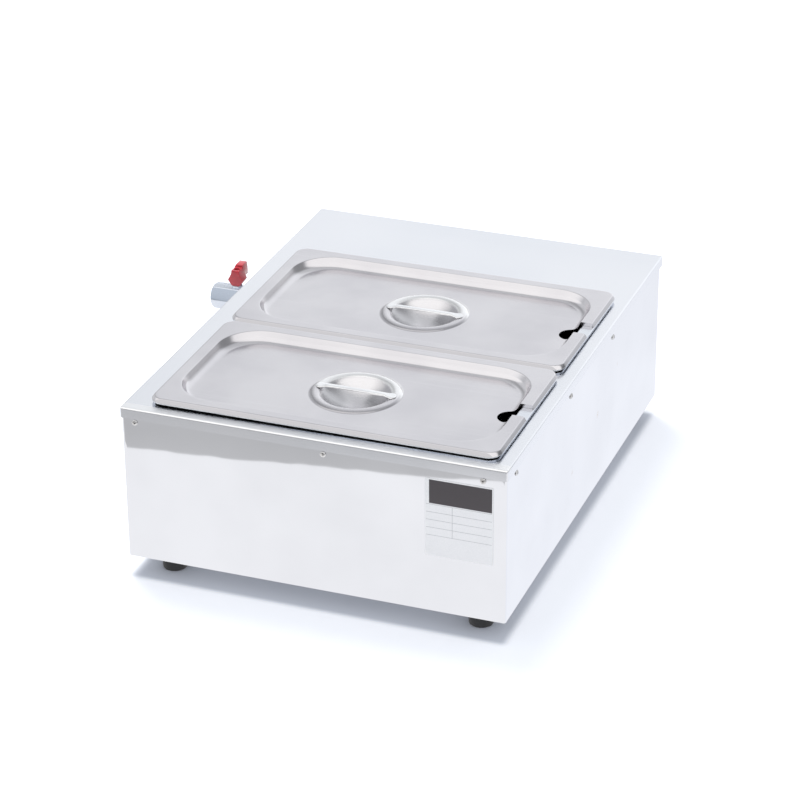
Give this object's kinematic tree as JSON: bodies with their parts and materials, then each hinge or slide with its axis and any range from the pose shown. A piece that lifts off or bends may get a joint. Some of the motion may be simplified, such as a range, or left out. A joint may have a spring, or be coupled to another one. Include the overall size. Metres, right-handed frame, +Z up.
{
  "type": "chocolate melter",
  "caption": "Electric water-bath chocolate melter: stainless cabinet on rubber feet, lift-out pans with notched lids, side drain valve, thermostat and switch.",
  "frame": {"origin": "middle of the footprint, on the surface that the feet stand on", "axes": "+Z up; +Y towards the control side, so the rating plate faces -Y; the drain valve points to -X"},
  "size_m": [0.4378, 0.4904, 0.177],
  "materials": {
    "polished_steel": "polished",
    "tank_steel": "satin",
    "plain_steel": "matt",
    "pan_steel": "satin",
    "lid_steel": "brushed",
    "screw_steel": "plated",
    "element_steel": "matt",
    "plain_brass": "turned",
    "nickel_plate": "nickel plated",
    "pipe_steel": "turned",
    "seat_plastic": "matt",
    "red_plastic": "moulded",
    "black_plastic": "fine texture",
    "brown_moulding": "moulded",
    "dial_enamel": "enamelled",
    "bulb_copper": "drawn",
    "green_lens": "clear moulded",
    "amber_lens": "clear moulded",
    "white_moulding": "moulded",
    "plate_film": "film",
    "black_rubber": "matt"
  },
  "bodies": {
    "cabinet": {"top_cover": "polished_steel", "body_shell": "polished_steel", "control_panel": "polished_steel", "water_tank": "tank_steel", "cover_brackets": "tank_steel", "element_clips": "tank_steel", "bulb_clips": "tank_steel", "base_plate": "plain_steel", "cover_screws": "screw_steel", "base_screws": "screw_steel", "foot_screws": "screw_steel", "foot_nuts": "screw_steel", "thermostat_screws": "screw_steel", "heating_element": "element_steel", "element_nuts": "plain_brass", "drain_lock_nut": "nickel_plate", "drain_valve_body": "nickel_plate", "drain_valve_insert": "nickel_plate", "drain_gland_nut": "nickel_plate", "drain_pipe": "pipe_steel", "drain_valve_seats": "seat_plastic", "power_switch_housing": "black_plastic", "cable_gland": "black_plastic", "cable_gland_nut": "black_plastic", "pilot_lamp_body": "black_plastic", "safety_cutout": "black_plastic", "thermostat_body": "brown_moulding", "thermostat_dial_plate": "dial_enamel", "thermostat_bulb": "bulb_copper", "pilot_lamp_lens": "amber_lens", "terminal_block": "white_moulding", "rating_plate": "plate_film", "near_left_foot": "black_rubber", "near_right_foot": "black_rubber", "far_left_foot": "black_rubber", "far_right_foot": "black_rubber"},
    "near_pan": {"near_pan": "pan_steel"},
    "near_lid": {"near_lid": "lid_steel", "near_lid_handle": "lid_steel"},
    "far_pan": {"far_pan": "pan_steel"},
    "far_lid": {"far_lid": "lid_steel", "far_lid_handle": "lid_steel"},
    "drain_handle": {"drain_valve_handle": "red_plastic", "drain_handle_screw": "screw_steel", "drain_valve_stem": "nickel_plate", "drain_valve_ball": "nickel_plate"},
    "thermostat_dial": {"thermostat_knob": "black_plastic", "thermostat_spindle": "pipe_steel"},
    "power_rocker": {"power_switch_rocker": "green_lens"}
  },
  "joints": [
    {"name": "near_pan_lift", "type": "slide", "parent": "cabinet", "child": "near_pan", "axis": [0, 0, 1], "range_m": [0, 0.12]},
    {"name": "near_lid_lift", "type": "slide", "parent": "near_pan", "child": "near_lid", "axis": [0, 0, 1], "range_m": [0, 0.08]},
    {"name": "far_pan_lift", "type": "slide", "parent": "cabinet", "child": "far_pan", "axis": [0, 0, 1], "range_m": [0, 0.12]},
    {"name": "far_lid_lift", "type": "slide", "parent": "far_pan", "child": "far_lid", "axis": [0, 0, 1], "range_m": [0, 0.08]},
    {"name": "drain_handle_turn", "type": "hinge", "parent": "cabinet", "child": "drain_handle", "pos_m": [-0.1939, 0.1356, 0.104], "axis": [0, 0, 1], "range_deg": [0, 90]},
    {"name": "thermostat_turn", "type": "hinge", "parent": "cabinet", "child": "thermostat_dial", "pos_m": [-0.0219, 0.2266, 0.095], "axis": [0, -1, 0], "range_deg": [0, 270]},
    {"name": "power_switch_rock", "type": "hinge", "parent": "cabinet", "child": "power_rocker", "pos_m": [0.1161, 0.2265, 0.095], "axis": [-1, 0, 0], "range_deg": [0, 16]}
  ]
}
